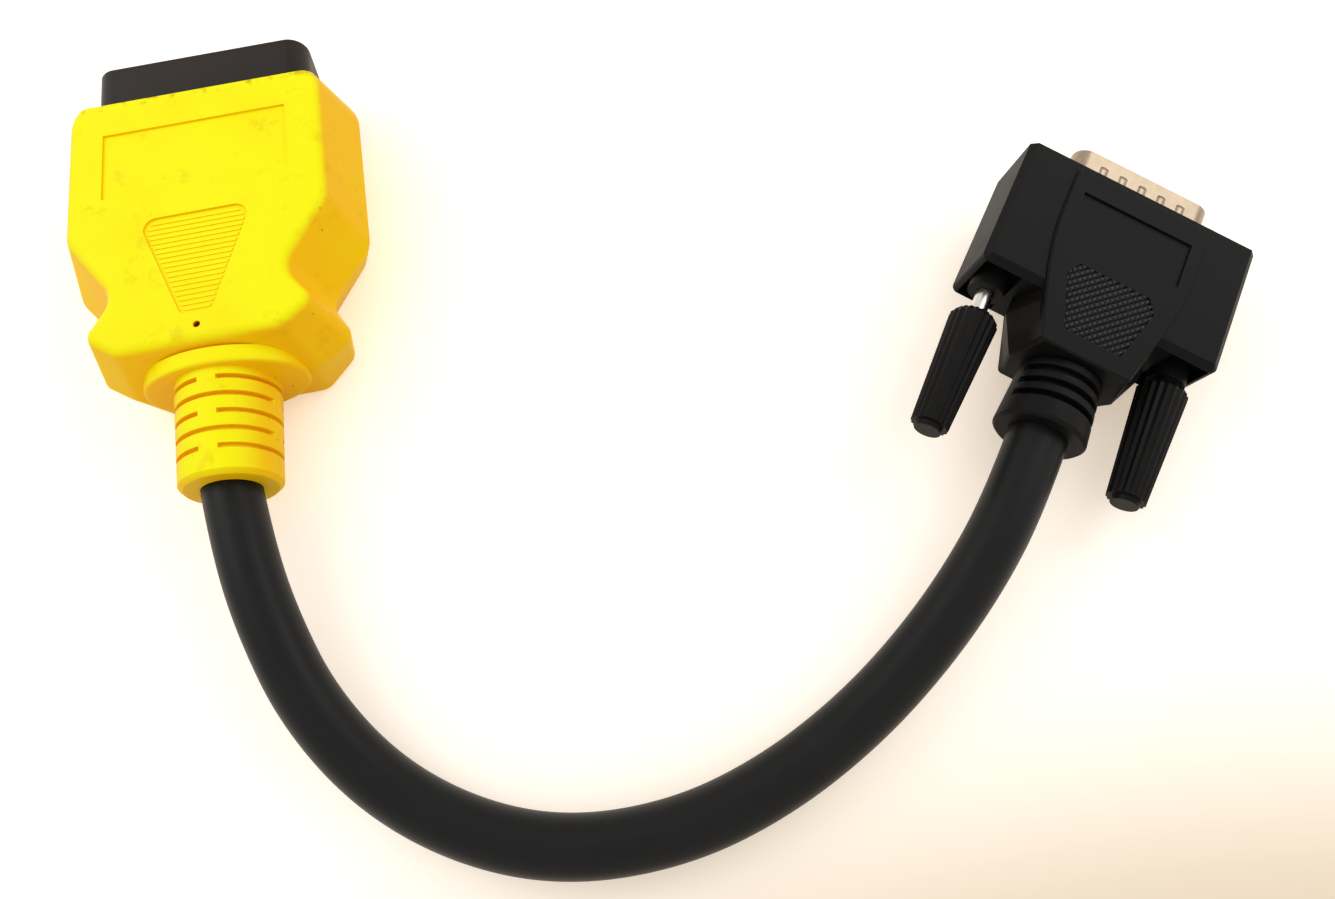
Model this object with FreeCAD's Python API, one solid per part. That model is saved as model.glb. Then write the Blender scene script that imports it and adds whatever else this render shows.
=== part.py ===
import FreeCAD, Part
import math
import os

# Short adapter lead: a sixteen-way vehicle diagnostic plug, a round cable and a fifteen-way D connector.
# Millimetres. The origin is the middle of the diagnostic plug's underside, +Z is up and +Y is the way
# that plug is pushed home. The D connector is built in a frame of its own, where its hood lies flat with
# its front face at Y = 0 and +Y is its mating direction. It is then rolled on to its lower right edge,
# where the stiff cable holds it, and set down in its place.

# Diagnostic plug, moulded body. What lies behind the label is measured forward from the rear end
PLUG_HEIGHT = 22.0
PLUG_LENGTH = 53.8
PLUG_FRONT_Y = 25.0
PLUG_SIDE = 25.8
PLUG_TOP_SIDE = 21.9
PLUG_SHOULDER_AHEAD = 21.6
PLUG_TOP_SHOULDER_AHEAD = 26.4
PLUG_WAIST = 18.2
PLUG_TOP_WAIST = 13.8
PLUG_WAIST_AHEAD = 11.6
PLUG_TOP_WAIST_AHEAD = 14.2
PLUG_FLARE = 21.9
PLUG_TOP_FLARE = 18.9
PLUG_FLARE_AHEAD = 4.6
PLUG_TOP_FLARE_AHEAD = 7.2
PLUG_REAR_HALF = 15.6
PLUG_TOP_REAR_HALF = 13.2
PLUG_TOP_REAR_SLOPE = 3.0
PLUG_UNDER_REAR_SLOPE = 0.8
PLUG_CORNER_RADIUS = 8.0
PLUG_TOP_CORNER_RADIUS = 7.0
PLUG_SHOULDER_RADIUS = 6.0
PLUG_WAIST_RADIUS = 4.0
PLUG_FLARE_RADIUS = 2.6
PLUG_REAR_RADIUS = 3.4
PLUG_EDGE_RADIUS = 2.0
PLUG_FRONT_TRIM = 3.2

# Sunk panels of the plug's top face
LABEL_HALF_WIDTH = 16.0
LABEL_BACK = 6.8
LABEL_LENGTH = 13.6
RECESS_DEPTH = 0.4
GRIP_HALF_FRONT = 9.7
GRIP_HALF_REAR = 2.6
GRIP_REAR_AHEAD = 8.1
GRIP_LENGTH = 19.6
GRIP_CORNER = 2.2
GRIP_REAR_CORNER = 1.2
GRIP_RIBS = 20
GRIP_RIB_HEIGHT = 0.14
GRIP_RIB_SHARE = 0.5
GRIP_MARGIN = 0.5
VENT_RADIUS = 0.6
VENT_AHEAD = 5.8
VENT_DEPTH = 1.5

# Diagnostic plug, D-shaped shroud with its tongue and blades
SHROUD_HEIGHT = 18.0
SHROUD_TOP_HALF = 19.7
SHROUD_BOTTOM_HALF = 17.6
SHROUD_CORNER = 3.5
SHROUD_WALL = 1.5
SHROUD_OUT = 10.2
SHROUD_EMBED = 12.0
SHROUD_FLOOR = 6.0
SHROUD_LIP = 0.4
TONGUE_HALF_WIDTH = 15.0
TONGUE_THICKNESS = 2.5
TONGUE_RECESS = 6.0
BLADE_COUNT = 8
BLADE_PITCH = 4.0
BLADE_ROW_SPACING = 8.4
BLADE_WIDTH = 1.5
BLADE_THICKNESS = 0.64
BLADE_RECESS = 5.5
BLADE_TIP = 0.8
BLADE_TAIL = 4.0

# Filling behind the blades, and the cores of the cable
PLUG_FILL_HALF_WIDTH = 15.0
PLUG_FILL_HEIGHT = 14.0
PLUG_FILL_LENGTH = 20.0
FILL_CORNER = 2.0
CORE_RADIUS = 0.75
CORE_RING_RADIUS = 3.1

# Diagnostic plug, strain relief
RELIEF_FLANGE_HALF_WIDTH = 13.6
RELIEF_FLANGE_HALF_HEIGHT = 9.6
RELIEF_FLANGE_THICKNESS = 3.0
RELIEF_FLANGE_PROUD = 0.9
RELIEF_FLANGE_EDGE = 0.8
RELIEF_COLLAR_RADIUS = 7.4
RELIEF_COLLAR_LENGTH = 5.5
RELIEF_NECK_RADIUS = 8.4
RELIEF_END_RADIUS = 8.0
RELIEF_LENGTH = 18.3
RELIEF_END_EDGE = 0.8
RELIEF_SLOT_ROWS = 5
RELIEF_SLOT_FIRST = 1.3
RELIEF_SLOT_PITCH = 3.0
RELIEF_SLOT_WIDTH = 0.8
RELIEF_SLOT_DEPTH = 1.3
RELIEF_WEB = 3.0

# Cable
CABLE_DIAMETER = 9.4
ROUTE_ARC_SHARE = 0.45
ROUTE_POINTS = (
    (0.0, -59.1, 11.0),
    (2.4, -71.7, 9.9),
    (8.6, -85.4, 7.7),
    (18.4, -97.2, 5.8),
    (30.8, -106.0, 4.8),
    (45.4, -111.3, 4.8),
    (61.1, -112.2, 4.8),
    (76.4, -108.6, 4.8),
    (90.2, -102.0, 5.3),
    (102.4, -93.9, 6.9),
    (113.3, -84.4, 9.2),
)
ROUTE_LAST_RUN = 12.2

# D connector, its place on the table
D_PLACE_X = 155.9
D_PLACE_Y = -28.95
D_TURN = -36.8
D_ROLL = 10.7

# Captive jackscrews' places
SCREW_SPACING = 33.32
SCREW_X = SCREW_SPACING / 2

# D connector, hood. The panel, block and pad are measured forward from the hood's rear end
HOOD_THICKNESS = 15.4
HOOD_LENGTH = 33.6
HOOD_WING_PAST_SCREW = 4.24
HOOD_HALF_WIDTH = SCREW_X + HOOD_WING_PAST_SCREW
HOOD_WING_LENGTH = 24.3
HOOD_WING_STEP = 0.6
HOOD_WING_CORNER = 1.2
HOOD_WING_CHAMFER = 1.1
HOOD_FRONT_TRIM = 2.6
HOOD_PANEL_HALF = 12.1
HOOD_PANEL_FRONT = 1.0
HOOD_PANEL_BEND_AHEAD = 17.6
HOOD_PANEL_BEND_RADIUS = 50.0
HOOD_PANEL_REAR_HALF = 7.7
HOOD_PANEL_CORNER = 0.9
HOOD_PANEL_CHAMFER = 0.3
HOOD_BLOCK_HALF = 12.2
HOOD_BLOCK_TOP_HALF = 9.8
HOOD_BLOCK_START_AHEAD = 14.6
HOOD_BLOCK_BEND_AHEAD = 6.1
HOOD_BLOCK_TOP_BEND_AHEAD = 6.9
HOOD_BLOCK_REAR_HALF = 9.2
HOOD_BLOCK_TOP_REAR_HALF = 7.4
HOOD_BLOCK_PAST_REAR = 0.6
HOOD_BLOCK_STEP = 1.2
HOOD_BLOCK_CORNER = 0.8
HOOD_LABEL_HALF = 9.8
HOOD_LABEL_BACK = 5.2
HOOD_LABEL_LENGTH = 8.6
HOOD_RECESS_DEPTH = 0.4
HOOD_PAD = ((6.15, 15.5), (7.7, 13.0), (4.95, 3.4))
HOOD_PAD_CORNER = 0.5
HOOD_POCKET_DEPTH = 2.5
HOOD_POCKET_HALF_WIDTH = 3.25
HOOD_POCKET_HALF_HEIGHT = 5.9
HOOD_BOSS_RADIUS = 3.0
HOOD_BOSS_PROUD = 1.6

# D connector, shells, insulators and pins
FLANGE_PAST_SCREW = 2.91
FLANGE_WIDTH = SCREW_SPACING + 2 * FLANGE_PAST_SCREW
FLANGE_HEIGHT = 12.55
FLANGE_THICKNESS = 0.9
FLANGE_CORNER = 1.5
SCREW_HOLE_RADIUS = 1.55
D_TOP_HALF = 13.0
D_HEIGHT = 9.16
D_SLANT = 10.0
D_CORNER = 2.6
D_WALL = 0.4
D_PROJECTION = 5.8
D_REAR_CUP = 4.2
D_LIP = 0.15
DIMPLE_COUNT = 5
DIMPLE_PITCH = 3.6
DIMPLE_START = 1.3
DIMPLE_LENGTH = 2.6
DIMPLE_RADIUS = 1.3
DIMPLE_DEPTH = 0.25
INSULATOR_FRONT = 1.0
INSULATOR_REAR = 6.5
PIN_RADIUS = 0.5
PIN_PITCH = 2.77
PIN_ROW_SPACING = 2.84
PIN_RECESS = 0.7
PIN_TIP = 0.4
CUP_RADIUS = 0.85
CUP_LENGTH = 3.0
UPPER_PINS = 8
LOWER_PINS = 7
D_FILL_HALF_WIDTH = 12.5
D_FILL_HEIGHT = 10.6
D_FILL_LENGTH = 14.0

# D connector, strain relief
D_RELIEF_COLLAR_RADIUS = 5.9
D_RELIEF_COLLAR_LENGTH = 5.2
D_RELIEF_NECK_RADIUS = 6.6
D_RELIEF_END_RADIUS = 7.4
D_RELIEF_LENGTH = 11.0
D_RELIEF_END_EDGE = 0.5
D_RELIEF_SLOTS = 3
D_RELIEF_SLOT_FIRST = 1.3
D_RELIEF_SLOT_PITCH = 2.45
D_RELIEF_SLOT_WIDTH = 1.2
D_RELIEF_FLOOR_RADIUS = 5.5
D_RELIEF_WEB = 3.4

# Captive jackscrews, at their pushed-in place
SCREW_TRAVEL = 4.0
SCREW_OUT = 4.7
THREAD_RADIUS = 1.42
THREAD_REAR = 0.1
THREAD_CHAMFER = 0.3
NECK_RADIUS = 1.25
SHANK_RADIUS = 1.45
SHANK_AHEAD_OF_CLIP = 2.4
SHANK_CLEARANCE = 0.08
SHANK_IN_GRIP = 13.0
CLIP_PLACE = 7.8
CLIP_THICKNESS = 0.8
CLIP_RADIUS = 2.85
CLIP_GROOVE_RADIUS = 1.15
CLIP_RUNNING = 0.05
CLIP_CHAMBER_RADIUS = 3.0
CLIP_END_GAP = 0.3
CLIP_MOUTH = 1.6
HEAD_GAP = 0.8
HEAD_RIBS = 20
HEAD_LENGTH = 21.4
HEAD_NOSE_LENGTH = 1.1
HEAD_NOSE_RADIUS = 3.2
HEAD_RADIUS = 4.05
HEAD_REAR_RADIUS = 3.1
HEAD_RIB_DEPTH = 0.32
HEAD_TIP_RADIUS = 2.2
HEAD_TIP_LENGTH = 0.9

PLUG_MIDDLE = PLUG_HEIGHT / 2
HOOD_MIDDLE = HOOD_THICKNESS / 2
CABLE_RADIUS = CABLE_DIAMETER / 2
UP = FreeCAD.Vector(0, 0, 1)
AHEAD = FreeCAD.Vector(0, 1, 0)
TOLERANCE = 0.000001


def vector(x, y, z):
    return FreeCAD.Vector(x, y, z)


# Outlines


def rounded_wire(corners):
    # Closed wire through (point, radius) corners, each one rounded by a tangent arc
    starts = []
    middles = []
    ends = []
    count = len(corners)
    for i in range(count):
        point, radius = corners[i]
        before = (corners[i - 1][0] - point).normalize()
        after = (corners[(i + 1) % count][0] - point).normalize()
        half = before.getAngle(after) / 2
        reach = radius / math.tan(half)
        inward = (before + after).normalize()
        centre = point + inward * (radius / math.sin(half))
        starts.append(point + before * reach)
        middles.append(centre - inward * radius)
        ends.append(point + after * reach)
    edges = []
    for i in range(count):
        edges.append(Part.Arc(starts[i], middles[i], ends[i]).toShape())
        edges.append(Part.LineSegment(ends[i], starts[(i + 1) % count]).toShape())
    return Part.Wire(edges)


def plan_wire(half_outline, front_y, z):
    # Outline seen from above, alike left and right: (half width, distance behind the front, radius)
    right = [(vector(half, front_y - back, z), radius) for half, back, radius in half_outline]
    left = [(vector(-half, front_y - back, z), radius) for half, back, radius in reversed(half_outline)]
    return rounded_wire(right + left)


def d_wire(top_half, bottom_half, height, corner, y, middle):
    # D outline seen along the mating axis, wide side up
    top = middle + height / 2
    bottom = middle - height / 2
    corners = [vector(top_half, y, top), vector(bottom_half, y, bottom)]
    corners += [vector(-bottom_half, y, bottom), vector(-top_half, y, top)]
    return rounded_wire([(point, corner) for point in corners])


def prism(wire, direction):
    return Part.Face(wire).extrude(direction)


def mirrored_down(half, middle):
    return half.mirror(vector(0, 0, middle), UP)


def edges_at_height(shape, z):
    return [edge for edge in shape.Edges if all(abs(v.Z - z) < TOLERANCE for v in edge.Vertexes)]


def edges_at_depth(shape, y):
    return [edge for edge in shape.Edges if all(abs(v.Y - y) < TOLERANCE for v in edge.Vertexes)]


def revolved(profile, x, z):
    # Solid of (radius, y) points turned about the line along Y through (x, z)
    points = [vector(x + radius, y, z) for radius, y in profile]
    face = Part.Face(Part.makePolygon(points + [points[0]]))
    return face.revolve(vector(x, 0, z), AHEAD, 360)


def rod(radius, y_low, y_high, x, z):
    return Part.makeCylinder(radius, y_high - y_low, vector(x, y_low, z), AHEAD)


def rounded_block(half_width, height, y_low, y_high, middle, corner):
    wire = d_wire(half_width, half_width, height, corner, y_low, middle)
    return prism(wire, vector(0, y_high - y_low, 0))


def slot_ring(front, width, floor_radius, reach, middle, web, web_upright):
    # Flexing slot round a strain relief, cut down to a floor and closed by two opposite webs
    rear = front - width
    ring = rod(reach, rear, front, 0, middle).cut(rod(floor_radius, rear, front, 0, middle))
    across = web if web_upright else 2 * reach
    along = 2 * reach if web_upright else web
    return ring.cut(Part.makeBox(across, width, along, vector(-across / 2, rear, middle - along / 2)))


def without(shape, *tools):
    for tool in tools:
        shape = shape.cut(tool)
    return shape


def group(solids):
    return Part.makeCompound(solids)


def placed(shape, place):
    moved = shape.copy()
    moved.transformShape(place.toMatrix())
    return moved


# Diagnostic plug

SHROUD_REAR_Y = PLUG_FRONT_Y - SHROUD_EMBED
SHROUD_RIM_Y = PLUG_FRONT_Y + SHROUD_OUT
PLUG_REAR_Y = PLUG_FRONT_Y - PLUG_LENGTH
GRIP_FRONT_AHEAD = GRIP_REAR_AHEAD + GRIP_LENGTH
PLUG_FILL_REAR_Y = SHROUD_REAR_Y - PLUG_FILL_LENGTH
RELIEF_FLANGE_Y = PLUG_REAR_Y - RELIEF_FLANGE_PROUD
RELIEF_END_Y = RELIEF_FLANGE_Y - RELIEF_LENGTH


def plug_half(rear_slope):
    # Upper half of the moulding, drawn in from the parting line to the top face
    parting = (
        (PLUG_SIDE, -PLUG_FRONT_TRIM, PLUG_CORNER_RADIUS),
        (PLUG_SIDE, PLUG_LENGTH - PLUG_SHOULDER_AHEAD, PLUG_SHOULDER_RADIUS),
        (PLUG_WAIST, PLUG_LENGTH - PLUG_WAIST_AHEAD, PLUG_WAIST_RADIUS),
        (PLUG_FLARE, PLUG_LENGTH - PLUG_FLARE_AHEAD, PLUG_FLARE_RADIUS),
        (PLUG_REAR_HALF, PLUG_LENGTH, PLUG_REAR_RADIUS),
    )
    top = (
        (PLUG_TOP_SIDE, -PLUG_FRONT_TRIM, PLUG_TOP_CORNER_RADIUS),
        (PLUG_TOP_SIDE, PLUG_LENGTH - PLUG_TOP_SHOULDER_AHEAD, PLUG_SHOULDER_RADIUS),
        (PLUG_TOP_WAIST, PLUG_LENGTH - PLUG_TOP_WAIST_AHEAD, PLUG_WAIST_RADIUS),
        (PLUG_TOP_FLARE, PLUG_LENGTH - PLUG_TOP_FLARE_AHEAD, PLUG_FLARE_RADIUS),
        (PLUG_TOP_REAR_HALF, PLUG_LENGTH - rear_slope, PLUG_REAR_RADIUS),
    )
    wires = [plan_wire(parting, PLUG_FRONT_Y, PLUG_MIDDLE), plan_wire(top, PLUG_FRONT_Y, PLUG_HEIGHT)]
    upper = Part.makeLoft(wires, True, True)
    upper = upper.makeFillet(PLUG_EDGE_RADIUS, edges_at_height(upper, PLUG_HEIGHT))
    trim = Part.makeBox(
        2 * PLUG_SIDE, PLUG_CORNER_RADIUS, PLUG_HEIGHT, vector(-PLUG_SIDE, PLUG_FRONT_Y, 0)
    )
    return upper.cut(trim)


def plug_block():
    under = mirrored_down(plug_half(PLUG_UNDER_REAR_SLOPE), PLUG_MIDDLE)
    return plug_half(PLUG_TOP_REAR_SLOPE).fuse(under).removeSplitter()


def sunk_label():
    floor = PLUG_HEIGHT - RECESS_DEPTH
    corner = vector(-LABEL_HALF_WIDTH, PLUG_FRONT_Y - LABEL_BACK - LABEL_LENGTH, floor)
    return Part.makeBox(2 * LABEL_HALF_WIDTH, LABEL_LENGTH, RECESS_DEPTH, corner)


def grip_outline(margin, z):
    outline = (
        (GRIP_HALF_FRONT - margin, PLUG_LENGTH - GRIP_FRONT_AHEAD + margin, GRIP_CORNER),
        (GRIP_HALF_REAR - margin, PLUG_LENGTH - GRIP_REAR_AHEAD - margin, GRIP_REAR_CORNER),
    )
    return plan_wire(outline, PLUG_FRONT_Y, z)


def grip_ribs():
    # Low bars across the sunk grip, trimmed to its outline
    floor = PLUG_HEIGHT - RECESS_DEPTH
    pitch = GRIP_LENGTH / GRIP_RIBS
    bars = []
    for i in range(1, GRIP_RIBS):
        y = PLUG_REAR_Y + GRIP_FRONT_AHEAD - i * pitch - pitch * GRIP_RIB_SHARE / 2
        corner = vector(-GRIP_HALF_FRONT, y, floor)
        bars.append(Part.makeBox(2 * GRIP_HALF_FRONT, pitch * GRIP_RIB_SHARE, GRIP_RIB_HEIGHT, corner))
    return group(bars).common(prism(grip_outline(GRIP_MARGIN, floor), UP * GRIP_RIB_HEIGHT))


def shroud_outline(inset, y):
    return d_wire(
        SHROUD_TOP_HALF - inset,
        SHROUD_BOTTOM_HALF - inset,
        SHROUD_HEIGHT - 2 * inset,
        SHROUD_CORNER - inset,
        y,
        PLUG_MIDDLE,
    )


def shroud_envelope():
    return prism(shroud_outline(0, SHROUD_REAR_Y), vector(0, SHROUD_EMBED + SHROUD_OUT, 0))


def blade_row(z):
    # Flat blades with tapered tips, in a row across the plug
    tip = SHROUD_RIM_Y - BLADE_RECESS
    tail = SHROUD_REAR_Y - BLADE_TAIL
    half = BLADE_THICKNESS / 2
    blades = []
    for i in range(BLADE_COUNT):
        x = (i - (BLADE_COUNT - 1) / 2) * BLADE_PITCH - BLADE_WIDTH / 2
        profile = [(tail, -half), (tip - BLADE_TIP, -half), (tip, -half / 2)]
        profile += [(y, -height) for y, height in reversed(profile)]
        points = [vector(x, y, z + height) for y, height in profile]
        blades.append(prism(Part.makePolygon(points + [points[0]]), vector(BLADE_WIDTH, 0, 0)))
    return blades


def cores(near_y, far_y, middle, targets):
    # Insulated cores that fan out from a ring in the cable to the contacts
    solids = []
    for i, (x, z) in enumerate(targets):
        angle = math.radians(180 - (i + 0.5) * 360 / len(targets))
        start = vector(
            CORE_RING_RADIUS * math.cos(angle), near_y, middle + CORE_RING_RADIUS * math.sin(angle)
        )
        circles = [
            Part.Wire(Part.makeCircle(CORE_RADIUS, start, AHEAD)),
            Part.Wire(Part.makeCircle(CORE_RADIUS, vector(x, far_y, z), AHEAD)),
        ]
        solids.append(Part.makeLoft(circles, True, True))
    return solids


def plug_relief_outer():
    flange_centre = vector(0, RELIEF_FLANGE_Y, PLUG_MIDDLE)
    width_end = flange_centre + vector(RELIEF_FLANGE_HALF_WIDTH, 0, 0)
    height_end = flange_centre + vector(0, 0, RELIEF_FLANGE_HALF_HEIGHT)
    oval = Part.Ellipse(width_end, height_end, flange_centre).toShape()
    flange = prism(Part.Wire(oval), vector(0, RELIEF_FLANGE_THICKNESS, 0))
    flange = flange.makeFillet(RELIEF_FLANGE_EDGE, edges_at_depth(flange, RELIEF_FLANGE_Y))
    collar_y = RELIEF_FLANGE_Y + RELIEF_FLANGE_THICKNESS
    body = revolved(
        (
            (0, collar_y + RELIEF_COLLAR_LENGTH),
            (RELIEF_COLLAR_RADIUS, collar_y + RELIEF_COLLAR_LENGTH),
            (RELIEF_COLLAR_RADIUS, RELIEF_FLANGE_Y),
            (RELIEF_NECK_RADIUS, RELIEF_FLANGE_Y),
            (RELIEF_END_RADIUS, RELIEF_END_Y + RELIEF_END_EDGE),
            (RELIEF_END_RADIUS - RELIEF_END_EDGE, RELIEF_END_Y),
            (0, RELIEF_END_Y),
        ),
        0,
        PLUG_MIDDLE,
    )
    return flange.fuse(body)


def relief_slots():
    # Rows of slots, with the webs turned a quarter from row to row
    rows = []
    for i in range(RELIEF_SLOT_ROWS):
        front = RELIEF_FLANGE_Y - RELIEF_SLOT_FIRST - i * RELIEF_SLOT_PITCH
        floor = RELIEF_NECK_RADIUS - RELIEF_SLOT_DEPTH
        reach = 2 * RELIEF_NECK_RADIUS
        rows.append(slot_ring(front, RELIEF_SLOT_WIDTH, floor, reach, PLUG_MIDDLE, RELIEF_WEB, i % 2 == 0))
    return rows


def diagnostic_plug():
    row_height = BLADE_ROW_SPACING / 2
    upper_blades = blade_row(PLUG_MIDDLE + row_height)
    lower_blades = blade_row(PLUG_MIDDLE - row_height)
    blades = group(upper_blades + lower_blades)

    # The cable's end inside the plug, and its cores out to the blades
    tail = rod(CABLE_RADIUS, RELIEF_END_Y, PLUG_FILL_REAR_Y, 0, PLUG_MIDDLE)
    columns = [(i - (BLADE_COUNT - 1) / 2) * BLADE_PITCH for i in range(BLADE_COUNT)]
    targets = [(x, PLUG_MIDDLE + row_height) for x in columns[::2]]
    targets += [(x, PLUG_MIDDLE - row_height) for x in reversed(columns[1::2])]
    plug_cores = cores(PLUG_FILL_REAR_Y, SHROUD_REAR_Y - BLADE_TAIL, PLUG_MIDDLE, targets)

    # Shroud with a thick floor that holds the blades, and a tongue between their rows
    cavity_y = SHROUD_REAR_Y + SHROUD_FLOOR
    cavity = prism(shroud_outline(SHROUD_WALL, cavity_y), vector(0, SHROUD_RIM_Y - cavity_y, 0))
    tongue_length = SHROUD_RIM_Y - TONGUE_RECESS - cavity_y
    tongue_corner = vector(-TONGUE_HALF_WIDTH, cavity_y, PLUG_MIDDLE - TONGUE_THICKNESS / 2)
    tongue = Part.makeBox(2 * TONGUE_HALF_WIDTH, tongue_length, TONGUE_THICKNESS, tongue_corner)
    envelope = shroud_envelope()
    shroud = envelope.makeFillet(SHROUD_LIP, edges_at_depth(envelope, SHROUD_RIM_Y))
    shroud = shroud.cut(cavity).fuse(tongue).cut(blades)

    fill = rounded_block(
        PLUG_FILL_HALF_WIDTH, PLUG_FILL_HEIGHT, PLUG_FILL_REAR_Y, SHROUD_REAR_Y, PLUG_MIDDLE, FILL_CORNER
    )
    relief = plug_relief_outer()

    vent_foot = vector(0, PLUG_REAR_Y + VENT_AHEAD, PLUG_HEIGHT - VENT_DEPTH)
    vent = Part.makeCylinder(VENT_RADIUS, VENT_DEPTH, vent_foot, UP)
    grip = prism(grip_outline(0, PLUG_HEIGHT - RECESS_DEPTH), UP * RECESS_DEPTH)
    body = without(plug_block(), sunk_label(), grip, vent).fuse(grip_ribs())
    body = without(body, envelope, fill, relief, tail)

    return {
        "plug_overmould": body,
        "plug_strain_relief": without(relief, tail, *relief_slots()),
        "plug_shroud": shroud,
        "plug_blades_upper": group(upper_blades),
        "plug_blades_lower": group(lower_blades),
        "plug_inner_filling": without(fill, blades, *plug_cores),
        "plug_core_wires": group(plug_cores),
        "plug_cable_end": tail,
    }


# D connector, in its own frame

D_FRONT_REAR_Y = -FLANGE_THICKNESS
D_BACK_REAR_Y = -2 * FLANGE_THICKNESS
D_FILL_REAR_Y = -INSULATOR_REAR - D_FILL_LENGTH
D_RELIEF_FRONT_Y = -HOOD_LENGTH - HOOD_BLOCK_PAST_REAR
D_RELIEF_END_Y = D_RELIEF_FRONT_Y - D_RELIEF_LENGTH
GRIP_NOSE_Y = -HOOD_WING_LENGTH - HOOD_BOSS_PROUD - HEAD_GAP
WING_TOP = HOOD_THICKNESS - HOOD_WING_STEP
BLOCK_TOP = HOOD_THICKNESS - HOOD_BLOCK_STEP


def d_outline(inset, y):
    lean = D_HEIGHT * math.tan(math.radians(D_SLANT))
    return d_wire(
        D_TOP_HALF - inset, D_TOP_HALF - lean - inset, D_HEIGHT - 2 * inset, D_CORNER - inset, y, HOOD_MIDDLE
    )


def d_prism(inset, y_low, y_high):
    return prism(d_outline(inset, y_low), vector(0, y_high - y_low, 0))


def flange_plate(y_low):
    plate = rounded_block(
        FLANGE_WIDTH / 2, FLANGE_HEIGHT, y_low, y_low + FLANGE_THICKNESS, HOOD_MIDDLE, FLANGE_CORNER
    )
    for side in (-1, 1):
        hole = rod(SCREW_HOLE_RADIUS, y_low, y_low + FLANGE_THICKNESS, side * SCREW_X, HOOD_MIDDLE)
        plate = plate.cut(hole)
    return plate


def dimples(radius):
    # Rods with pointed ends that press a row of long dimples into both long sides of the front shell
    rods = []
    hidden = DIMPLE_RADIUS - DIMPLE_DEPTH
    front = DIMPLE_START + DIMPLE_LENGTH + hidden
    rear = DIMPLE_START - hidden
    grown = radius - DIMPLE_RADIUS
    profile = (
        (0, front + grown),
        (radius, front - DIMPLE_RADIUS),
        (radius, rear + DIMPLE_RADIUS),
        (0, rear - grown),
    )
    for side in (-1, 1):
        z = HOOD_MIDDLE + side * (D_HEIGHT / 2 + hidden)
        for i in range(DIMPLE_COUNT):
            rods.append(revolved(profile, (i - (DIMPLE_COUNT - 1) / 2) * DIMPLE_PITCH, z))
    return group(rods)


def front_shell():
    # Pressed shell, whose dimples stand inward so that its wall stays whole
    tube = d_prism(0, D_FRONT_REAR_Y, D_PROJECTION)
    tube = tube.makeFillet(D_LIP, edges_at_depth(tube, D_PROJECTION))
    bumps = dimples(DIMPLE_RADIUS + D_WALL).common(d_prism(D_WALL / 2, 0, D_PROJECTION))
    shell = flange_plate(D_FRONT_REAR_Y).fuse(tube).cut(d_prism(D_WALL, D_FRONT_REAR_Y, D_PROJECTION))
    return shell.fuse(bumps.Solids).cut(dimples(DIMPLE_RADIUS))


def rear_shell():
    tube = d_prism(0, D_BACK_REAR_Y - D_REAR_CUP, D_FRONT_REAR_Y)
    bore = d_prism(D_WALL, D_BACK_REAR_Y - D_REAR_CUP, D_FRONT_REAR_Y)
    return flange_plate(D_BACK_REAR_Y).fuse(tube).cut(bore)


def pin_places(count, side):
    z = HOOD_MIDDLE + side * PIN_ROW_SPACING / 2
    return [((i - (count - 1) / 2) * PIN_PITCH, z) for i in range(count)]


def pin(x, z):
    tip = D_PROJECTION - PIN_RECESS
    profile = (
        (0, tip),
        (PIN_RADIUS / 2, tip),
        (PIN_RADIUS, tip - PIN_TIP),
        (PIN_RADIUS, -INSULATOR_REAR),
        (CUP_RADIUS, -INSULATOR_REAR),
        (CUP_RADIUS, -INSULATOR_REAR - CUP_LENGTH),
        (0, -INSULATOR_REAR - CUP_LENGTH),
    )
    return revolved(profile, x, z)


def hood_wings():
    # Flat wings with chamfered edges, except at the front face
    outline = (
        (HOOD_HALF_WIDTH, -HOOD_FRONT_TRIM, HOOD_WING_CORNER),
        (HOOD_HALF_WIDTH, HOOD_WING_LENGTH, HOOD_WING_CORNER),
    )
    upper = prism(plan_wire(outline, 0, HOOD_MIDDLE), UP * (WING_TOP - HOOD_MIDDLE))
    upper = upper.makeChamfer(HOOD_WING_CHAMFER, edges_at_height(upper, WING_TOP))
    trim = vector(-HOOD_HALF_WIDTH, 0, HOOD_MIDDLE)
    return upper.cut(Part.makeBox(2 * HOOD_HALF_WIDTH, HOOD_FRONT_TRIM, WING_TOP - HOOD_MIDDLE, trim))


def hood_block():
    start = HOOD_LENGTH - HOOD_BLOCK_START_AHEAD
    parting = (
        (HOOD_BLOCK_HALF, start, HOOD_BLOCK_CORNER),
        (HOOD_BLOCK_HALF, HOOD_LENGTH - HOOD_BLOCK_BEND_AHEAD, HOOD_BLOCK_CORNER),
        (HOOD_BLOCK_REAR_HALF, HOOD_LENGTH + HOOD_BLOCK_PAST_REAR, HOOD_BLOCK_CORNER),
    )
    top = (
        (HOOD_BLOCK_TOP_HALF, start, HOOD_BLOCK_CORNER),
        (HOOD_BLOCK_TOP_HALF, HOOD_LENGTH - HOOD_BLOCK_TOP_BEND_AHEAD, HOOD_BLOCK_CORNER),
        (HOOD_BLOCK_TOP_REAR_HALF, HOOD_LENGTH, HOOD_BLOCK_CORNER),
    )
    return Part.makeLoft([plan_wire(parting, 0, HOOD_MIDDLE), plan_wire(top, 0, BLOCK_TOP)], True, True)


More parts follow.
